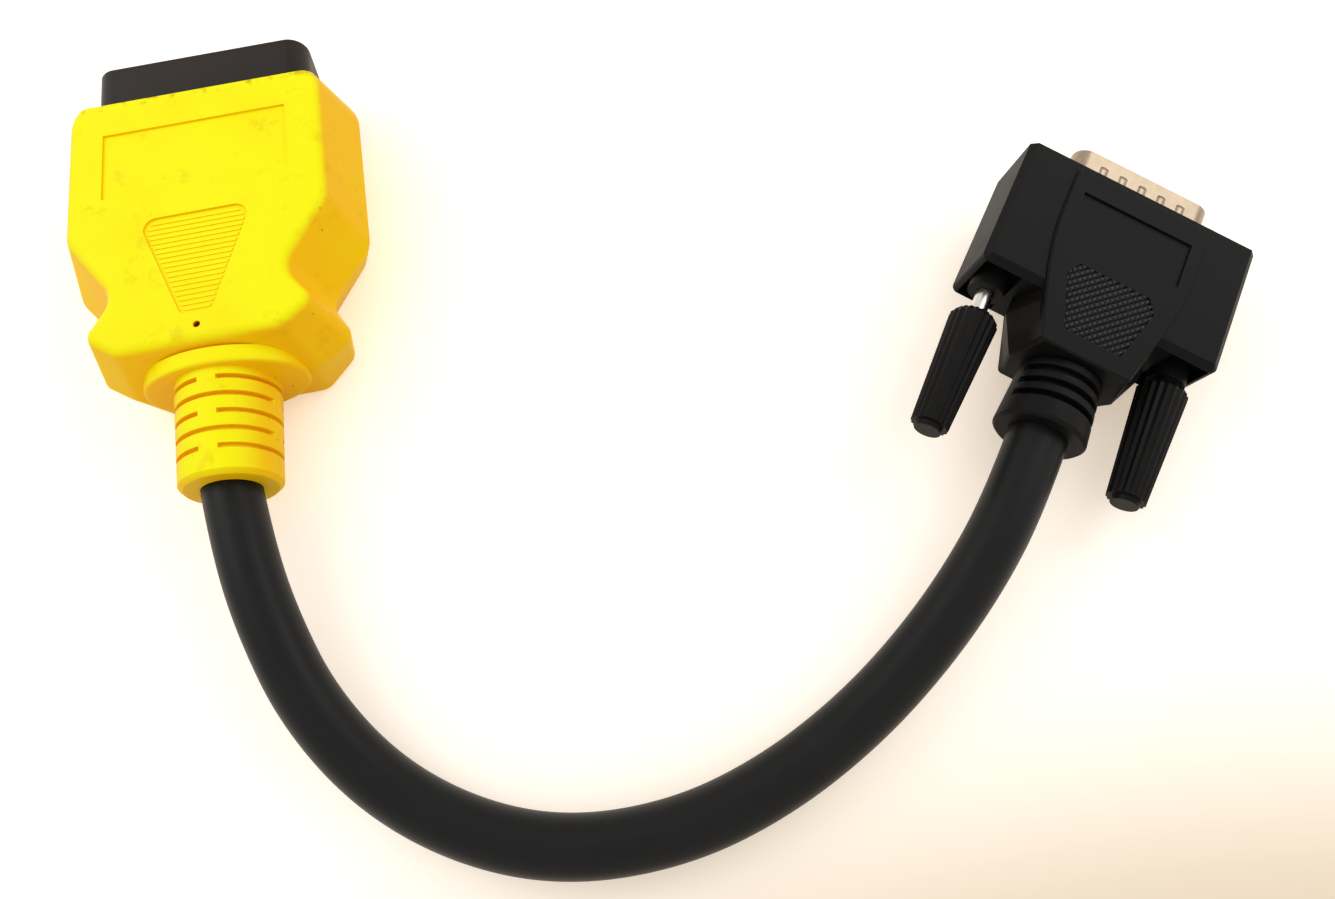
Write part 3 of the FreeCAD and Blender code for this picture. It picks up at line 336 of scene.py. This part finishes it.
relief = add(cable_pvc, "Bump", {"Height": grain.outputs["Fac"], "Strength": 0.08, "Distance": 0.05 * MM})
surface = add(cable_pvc, "BsdfPrincipled", {"Base Color": dusted.outputs[2], "Roughness": gloss.outputs[0],
                                            "Specular IOR Level": 0.2, "Normal": relief.outputs[0]})
add(cable_pvc, "OutputMaterial", {"Surface": surface.outputs[0]})

route = [CABLE_START] + [Vector(point) * MM for point in CABLE_ROUTE] + [CABLE_END]
cable_line = bpy.data.curves.new("cable_line", "CURVE")
cable_line.dimensions = "3D"
cable_line.resolution_u = 12
cable_line.bevel_depth = CABLE_DIAMETER / 2
cable_line.bevel_resolution = 12
cable_line.use_fill_caps = True
run = cable_line.splines.new("NURBS")
run.points.add(len(route) - 1)
for control, point in zip(run.points, route):
    control.co = (*point, 1.0)
run.order_u = 3
run.use_endpoint_u = True
cable = bpy.data.objects.new("cable_run", cable_line)
bpy.context.scene.collection.objects.link(cable)
fit(cable, "lead", "black_pvc_jacket", cable_pvc, "cable")
finish_solid(cable_pvc, "plug_cable_end", "hood_cable_end")


# Black hood of the D connector, shot in soft PVC round the shells, pins and cable. It has a raised middle
# panel with a bare shallow recess, and a thumb pad of small pyramids that the mould cuts.

HOOD_EDGE = 0.18 * MM
PAD_FLOOR = 15.0 * MM
# The pad's corners: half its width, and how far behind the flange, in millimetres
PAD_CORNERS = ((6.15, 18.1), (7.7, 20.6), (4.95, 30.2))
PYRAMID_ROWS = 26
PYRAMID_PITCH = 0.95 * MM
PYRAMID_SLOPE = 0.3 * MM
PYRAMID_HEIGHT = 0.38 * MM

# Injection-moulded soft PVC in black: deep grey-black with a spark-eroded grain, which is drawn a little
# coarser than the real one so that it shows
black_pvc = blank("Moulded black PVC")
spot = add(black_pvc, "TexCoord").outputs["Object"]
flow = add(black_pvc, "TexNoise", {"Vector": spot, "Scale": 1 / (7 * MM), "Detail": 4.0})
tone = add(black_pvc, "MapRange", {"Value": flow.outputs["Fac"], "From Min": 0.35, "From Max": 0.7})
colour = add(black_pvc, "Mix", {0: tone.outputs[0], 6: linear("#0D0C0B"), 7: linear("#131211")},
             data_type="RGBA")
dust = add(black_pvc, "TexVoronoi", {"Vector": spot, "Scale": 1 / (2.2 * MM)})
dust_dot = add(black_pvc, "MapRange", {"Value": dust.outputs["Distance"], "From Min": 0.05, "From Max": 0.03,
                                       "To Max": 0.4})
dusted = add(black_pvc, "Mix", {0: dust_dot.outputs[0], 6: colour.outputs[2], 7: linear("#3C3933")},
             data_type="RGBA")
gloss = add(black_pvc, "MapRange", {"Value": flow.outputs["Fac"], "To Min": 0.42, "To Max": 0.56})
grain = add(black_pvc, "TexNoise", {"Vector": spot, "Scale": 1 / (0.22 * MM), "Detail": 3.0})
relief = add(black_pvc, "Bump", {"Height": grain.outputs["Fac"], "Strength": 0.3, "Distance": 0.06 * MM})
surface = add(black_pvc, "BsdfPrincipled", {"Base Color": dusted.outputs[2], "Roughness": gloss.outputs[0],
                                            "Specular IOR Level": 0.1, "Normal": relief.outputs[0]})
add(black_pvc, "OutputMaterial", {"Surface": surface.outputs[0]})

hood = eased("hood_overmould", "hood_moulded_body", HOOD_EDGE)
fit(hood, "lead", "black_pvc", black_pvc, "hood_overmould")

# The pad starts as a square grid on the diagonal. Each cell rises to a pyramid with a small flat tip, and
# the grid is then cut along the pad's six sides
pad = bmesh.new()
bmesh.ops.create_grid(pad, x_segments=PYRAMID_ROWS, y_segments=PYRAMID_ROWS,
                      size=PYRAMID_ROWS * PYRAMID_PITCH / 2)
bmesh.ops.rotate(pad, verts=pad.verts, matrix=Matrix.Rotation(math.radians(45), 3, "Z"))
bmesh.ops.inset_individual(pad, faces=pad.faces[:], thickness=PYRAMID_SLOPE, depth=PYRAMID_HEIGHT,
                           use_even_offset=True)
pad_middle = Vector((0, -(PAD_CORNERS[0][1] + PAD_CORNERS[-1][1]) / 2, 0)) * MM
bmesh.ops.translate(pad, verts=pad.verts, vec=pad_middle)
right_side = [Vector((half, -back, 0)) * MM for half, back in PAD_CORNERS]
left_side = [Vector((-corner.x, corner.y, 0)) for corner in reversed(right_side)]
outline = right_side + left_side
for corner, following in zip(outline, outline[1:] + outline[:1]):
    outward = (following - corner).cross(Vector((0, 0, 1)))
    if outward.dot(corner - pad_middle) < 0:
        outward = -outward
    bmesh.ops.bisect_plane(pad, geom=pad.verts[:] + pad.edges[:] + pad.faces[:], plane_co=corner,
                           plane_no=outward, clear_outer=True)
bmesh.ops.transform(pad, verts=pad.verts, matrix=D_PLACE @ Matrix.Translation((0, 0, PAD_FLOOR)))
pad = piece(pad, "hood_pyramid_pad")
pad.data.shade_flat()
# The same PVC, its tips polished by thumbs, so that each one catches the light
thumbed_pvc = black_pvc.copy()
thumbed_pvc.name = "Moulded black PVC polished by thumbs"
for node in thumbed_pvc.node_tree.nodes:
    if node.type == "BSDF_PRINCIPLED":
        node.inputs["Specular IOR Level"].default_value = 0.4
    if node.type == "BUMP":
        node.inputs["Strength"].default_value = 0.6
fit(pad, "lead", "black_pvc", thumbed_pvc)


# Black strain relief of the D connector, shot with the hood in the same PVC. Three grooves let it bend with
# the cable, and it ends in a thicker ring.

HOOD_RELIEF_EDGE = 0.2 * MM

hood_relief = eased("hood_strain_relief", "hood_grooved_relief", HOOD_RELIEF_EDGE)
fit(hood_relief, "lead", "black_pvc", black_pvc, "hood_strain_relief")


# Shells of the D connector, pressed from thin steel and nickel plated. The front one has five dimples in
# each long side that grip the mating shell.

# Nickel plate over pressed steel: warm silver, softly blurred by the pressing, with faint draw marks
nickel = blank("Nickel-plated pressed steel")
spot = add(nickel, "TexCoord").outputs["Object"]
drawn = add(nickel, "Mapping", {"Vector": spot, "Scale": (0.25, 0.25, 1.0)})
marks = add(nickel, "TexNoise", {"Vector": drawn.outputs[0], "Scale": 1 / (0.5 * MM), "Detail": 3.0})
tone = add(nickel, "Mix", {0: marks.outputs["Fac"], 6: linear("#857664"), 7: linear("#B7A48D")},
           data_type="RGBA")
gloss = add(nickel, "MapRange", {"Value": marks.outputs["Fac"], "To Min": 0.24, "To Max": 0.4})
surface = add(nickel, "BsdfPrincipled", {"Base Color": tone.outputs[2], "Metallic": 1.0,
                                         "Roughness": gloss.outputs[0]})
add(nickel, "OutputMaterial", {"Surface": surface.outputs[0]})
finish_solid(nickel, "d_rear_shell", "d_front_shell")


# Insulators and pins. The pins are turned and gold flashed, and the two black insulators hold them by
# their shoulders.

# Glass-filled PBT: flat black with a faint flow pattern
black_pbt = blank("Moulded black PBT")
spot = add(black_pbt, "TexCoord").outputs["Object"]
flow = add(black_pbt, "TexNoise", {"Vector": spot, "Scale": 1 / (2 * MM), "Detail": 3.0})
tone = add(black_pbt, "Mix", {0: flow.outputs["Fac"], 6: linear("#121211"), 7: linear("#1E1D1B")},
           data_type="RGBA")
surface = add(black_pbt, "BsdfPrincipled", {"Base Color": tone.outputs[2], "Roughness": 0.55})
add(black_pbt, "OutputMaterial", {"Surface": surface.outputs[0]})
finish_solid(black_pbt, "d_front_insulator", "d_rear_insulator")

# Gold flash over nickel: pale yellow metal, bright on the turned points
gold = blank("Gold-flashed pin")
spot = add(gold, "TexCoord").outputs["Object"]
turning = add(gold, "TexNoise", {"Vector": spot, "Scale": 1 / (0.2 * MM), "Detail": 2.0})
tone = add(gold, "Mix", {0: turning.outputs["Fac"], 6: linear("#C79A44"), 7: linear("#E2BE6C")},
           data_type="RGBA")
gloss = add(gold, "MapRange", {"Value": turning.outputs["Fac"], "To Min": 0.18, "To Max": 0.32})
surface = add(gold, "BsdfPrincipled", {"Base Color": tone.outputs[2], "Metallic": 1.0,
                                       "Roughness": gloss.outputs[0]})
add(gold, "OutputMaterial", {"Surface": surface.outputs[0]})
finish_solid(gold, "d_pins_upper", "d_pins_lower")


# Captive jackscrews: nickel-plated steel, each with a spring clip that keeps it in the hood, and a ribbed
# thumb grip moulded over its shank. The left one is pulled back, so its bright shank shows.

# Nickel-plated turned steel: bright, with turning lines round the shank
turned_steel = blank("Nickel-plated turned steel")
spot = add(turned_steel, "TexCoord").outputs["Object"]
turning = add(turned_steel, "TexNoise", {"Vector": spot, "Scale": 1 / (0.3 * MM), "Detail": 3.0})
tone = add(turned_steel, "Mix", {0: turning.outputs["Fac"], 6: linear("#C4BEB4"), 7: linear("#E9E5DD")},
           data_type="RGBA")
gloss = add(turned_steel, "MapRange", {"Value": turning.outputs["Fac"], "To Min": 0.14, "To Max": 0.3})
surface = add(turned_steel, "BsdfPrincipled", {"Base Color": tone.outputs[2], "Metallic": 1.0,
                                               "Roughness": gloss.outputs[0]})
add(turned_steel, "OutputMaterial", {"Surface": surface.outputs[0]})

# Lengths in millimetres. A profile's points are a radius, and the distance in front of the flange
SCREW_X = 16.66
SCREW_PULLED = {"left": 4.0, "right": 0.0}
SCREW_SIDES = 40
SCREW_SHARP = math.radians(35)
SCREW_WEIGHT = 50
SCREW_PROFILE = [(0, 4.7), (0.92, 4.7), (1.12, 4.5), (1.12, 0.1), (1.25, 0.1), (1.25, -5.4), (1.45, -5.4),
                 (1.45, -7.75), (1.15, -7.75), (1.15, -8.65), (1.45, -8.65), (1.45, -39.7), (0, -39.7)]
THREAD_PITCH = 0.635
THREAD_PROFILE = [(1.05, 0.3), (1.42, 0.05), (1.42, -0.05), (1.05, -0.3)]
THREAD_START = 4.25
THREAD_TURNS = 6
THREAD_STEPS = 24


def outline_of(form, points, closed):
    # The vertices and edges of a profile, ready to spin about the screw's axis
    corners = [form.verts.new((radius * MM, y * MM, 0)) for radius, y in points]
    pairs = list(zip(corners, corners[1:] + corners[:1] if closed else corners[1:]))
    return corners + [form.edges.new(pair) for pair in pairs]


for side, away in (("left", -SCREW_X), ("right", SCREW_X)):
    screw = bmesh.new()
    bmesh.ops.spin(screw, geom=outline_of(screw, SCREW_PROFILE, False), cent=(0, 0, 0), axis=(0, 1, 0),
                   angle=math.tau, steps=SCREW_SIDES, use_merge=True)
    thread = outline_of(screw, [(radius, y + THREAD_START) for radius, y in THREAD_PROFILE], True)
    bmesh.ops.spin(screw, geom=thread, cent=(0, 0, 0), axis=(0, 1, 0), angle=math.tau * THREAD_TURNS,
                   dvec=(0, -THREAD_PITCH * MM / THREAD_STEPS, 0), steps=THREAD_STEPS * THREAD_TURNS)
    bmesh.ops.remove_doubles(screw, verts=screw.verts, dist=SAME_POINT)
    bmesh.ops.holes_fill(screw, edges=[e for e in screw.edges if e.is_boundary], sides=0)
    bmesh.ops.recalc_face_normals(screw, faces=screw.faces)
    place = D_PLACE @ Matrix.Translation((away * MM, -SCREW_PULLED[side] * MM, D_SHELL_HEIGHT))
    bmesh.ops.transform(screw, verts=screw.verts, matrix=place)
    screw = piece(screw, side + "_threaded_screw")
    screw.data.set_sharp_from_angle(angle=SCREW_SHARP)
    keep_flats(screw, SCREW_WEIGHT)
    fit(screw, side + "_screw", "nickel_steel", turned_steel, side + "_jackscrew")

# Blued spring steel: dark blue-grey with heat tints
spring_steel = blank("Blued spring steel")
spot = add(spring_steel, "TexCoord").outputs["Object"]
tint = add(spring_steel, "TexNoise", {"Vector": spot, "Scale": 1 / (1.5 * MM), "Detail": 2.0})
tone = add(spring_steel, "Mix", {0: tint.outputs["Fac"], 6: linear("#3E4450"), 7: linear("#6A6470")},
           data_type="RGBA")
surface = add(spring_steel, "BsdfPrincipled", {"Base Color": tone.outputs[2], "Metallic": 1.0,
                                               "Roughness": 0.35})
add(spring_steel, "OutputMaterial", {"Surface": surface.outputs[0]})
finish_solid(spring_steel, "left_retaining_clip", "right_retaining_clip")

GRIP_EDGE = 0.08 * MM
GRIP_SHARP_DEGREES = 20

# Moulded ABS: near black, with patches that fingers have polished a little shinier
grip_plastic = blank("Moulded black ABS")
spot = add(grip_plastic, "TexCoord").outputs["Object"]
flow = add(grip_plastic, "TexNoise", {"Vector": spot, "Scale": 1 / (3 * MM), "Detail": 3.0})
tone = add(grip_plastic, "Mix", {0: flow.outputs["Fac"], 6: linear("#0B0A09"), 7: linear("#141210")},
           data_type="RGBA")
gloss = add(grip_plastic, "MapRange", {"Value": flow.outputs["Fac"], "To Min": 0.34, "To Max": 0.5})
surface = add(grip_plastic, "BsdfPrincipled", {"Base Color": tone.outputs[2],
                                               "Roughness": gloss.outputs[0], "Specular IOR Level": 0.1})
add(grip_plastic, "OutputMaterial", {"Surface": surface.outputs[0]})
for side in ("left", "right"):
    grip = eased(side + "_thumb_grip", side + "_ribbed_grip", GRIP_EDGE, GRIP_SHARP_DEGREES)
    fit(grip, side + "_screw", "grip_plastic", grip_plastic, side + "_thumb_grip")


# The table: a plain sheet of white paper that the lead lies on, with one soft beige patch of painted shade
# past the bend of the cable. It isn't part of the lead.

TABLE_HALF = 1.5
PAINTED_SHADE_MIDDLE = Vector((110, -175, 0)) * MM
PAINTED_SHADE_HALF = Vector((220, 85, 1000)) * MM

table = bmesh.new()
bmesh.ops.create_grid(table, x_segments=1, y_segments=1, size=TABLE_HALF)
table = piece(table, "table")
# Uncoated paper: matt, with a fibre that is drawn as coarse as 1 mm
paper = blank("White paper sheet")
spot = add(paper, "NewGeometry").outputs["Position"]
# Painted shade: the paper's colour darkens to beige in a soft patch past the bend of the cable
painted_shade_patch = add(paper, "Mapping", {"Vector": spot, "Location": PAINTED_SHADE_MIDDLE, "Scale": PAINTED_SHADE_HALF},
            vector_type="TEXTURE")
from_middle = add(paper, "VectorMath", {0: painted_shade_patch.outputs[0]}, operation="LENGTH")
painted_shade_fall = add(paper, "MapRange", {"Value": from_middle.outputs["Value"], "From Min": 1.0, "From Max": 0.3},
           interpolation_type="SMOOTHSTEP")
paper_with_painted_shade = add(paper, "Mix", {0: painted_shade_fall.outputs[0], 6: linear("#F0EEEA"), 7: linear("#C9B8A2")},
          data_type="RGBA")
fibre = add(paper, "TexNoise", {"Vector": spot, "Scale": 1 / (1.0 * MM), "Detail": 3.0})
relief = add(paper, "Bump", {"Height": fibre.outputs["Fac"], "Strength": 0.05, "Distance": 0.05 * MM})
sheet = add(paper, "BsdfDiffuse", {"Color": paper_with_painted_shade.outputs[2], "Normal": relief.outputs[0]})
seen = add(paper, "LightPath")
direct = add(paper, "Math", {0: seen.outputs["Is Camera Ray"], 1: seen.outputs["Is Glossy Ray"]},
             operation="MAXIMUM")
either = add(paper, "Math", {0: direct.outputs[0], 1: seen.outputs["Is Transmission Ray"]},
             operation="MAXIMUM")
# The paper's own pale glow keeps its shadows warm and open, and throws no light on the lead. Its colour is
# darker in the patch of painted shade too
glow_colour = add(paper, "Mix", {0: painted_shade_fall.outputs[0], 6: linear("#BDAC98"), 7: linear("#84765F")},
                  data_type="RGBA")
glow = add(paper, "Emission", {"Color": glow_colour.outputs[2], "Strength": either.outputs[0]})
both = add(paper, "AddShader", {0: sheet.outputs[0], 1: glow.outputs[0]})
add(paper, "OutputMaterial", {"Surface": both.outputs[0]})
table.data.materials.append(paper)


# Light: a bright even room, and two equal soft lamps, one above each end of the lead and outside it, so that
# both plugs cast their soft shadows inwards. Lengths are in metres and powers in watts.

ROOM_LEVEL = 0.77
LAMP_SIZE = 0.4
LAMP_POWER = 0.95
LAMP_TARGET = Vector((0.06, -0.04, 0))
LAMP_PLACES = {"lamp_left": (-0.38, 0.24, 0.52), "lamp_right": (0.62, 0.2, 0.52)}

room = bpy.data.worlds.new("Plain room")
bpy.context.scene.world = room
room.use_nodes = True
room.node_tree.nodes.clear()
seen = add(room, "LightPath")
direct = add(room, "Math", {0: seen.outputs["Is Camera Ray"], 1: seen.outputs["Is Glossy Ray"]},
             operation="MAXIMUM")
clear = add(room, "Math", {0: direct.outputs[0], 1: seen.outputs["Is Transmission Ray"]},
            operation="MAXIMUM")
level = add(room, "MapRange", {"Value": clear.outputs[0], "To Min": ROOM_LEVEL, "To Max": 1.0})
sky = add(room, "Background", {"Color": linear("#FFFFFF"), "Strength": level.outputs[0]})
add(room, "OutputWorld", {"Surface": sky.outputs[0]})

for name, place in LAMP_PLACES.items():
    light = bpy.data.lights.new(name, "AREA")
    light.shape = "SQUARE"
    light.size = LAMP_SIZE
    light.energy = LAMP_POWER
    stand = bpy.data.objects.new(name, light)
    bpy.context.scene.collection.objects.link(stand)
    stand.location = place
    stand.rotation_euler = (Vector(place) - LAMP_TARGET).to_track_quat("Z", "Y").to_euler()


# Camera: it looks down at the table from about 150 mm above it, near the bend of the cable. Its place, turn
# and focal length were fitted with the known spacing of the jackscrews.

FRAME_WIDTH = 1335
FOCAL_PIXELS = 950
SENSOR_WIDTH = 36.0
CAMERA_PLACE = Vector((66.2, -109.51, 154.41)) * MM
CAMERA_TURN = (20.678, -1.59, -10.937)

camera_data = bpy.data.cameras.new("camera")
camera_data.sensor_fit = "HORIZONTAL"
camera_data.sensor_width = SENSOR_WIDTH
camera_data.lens = SENSOR_WIDTH * FOCAL_PIXELS / FRAME_WIDTH
camera_data.clip_start = 5 * MM
camera = bpy.data.objects.new("camera", camera_data)
bpy.context.scene.collection.objects.link(camera)
camera.location = CAMERA_PLACE
camera.rotation_mode = "ZYX"
camera.rotation_euler = [math.radians(turn) for turn in CAMERA_TURN]
bpy.context.scene.camera = camera
bpy.context.scene.view_settings.view_transform = "Standard"
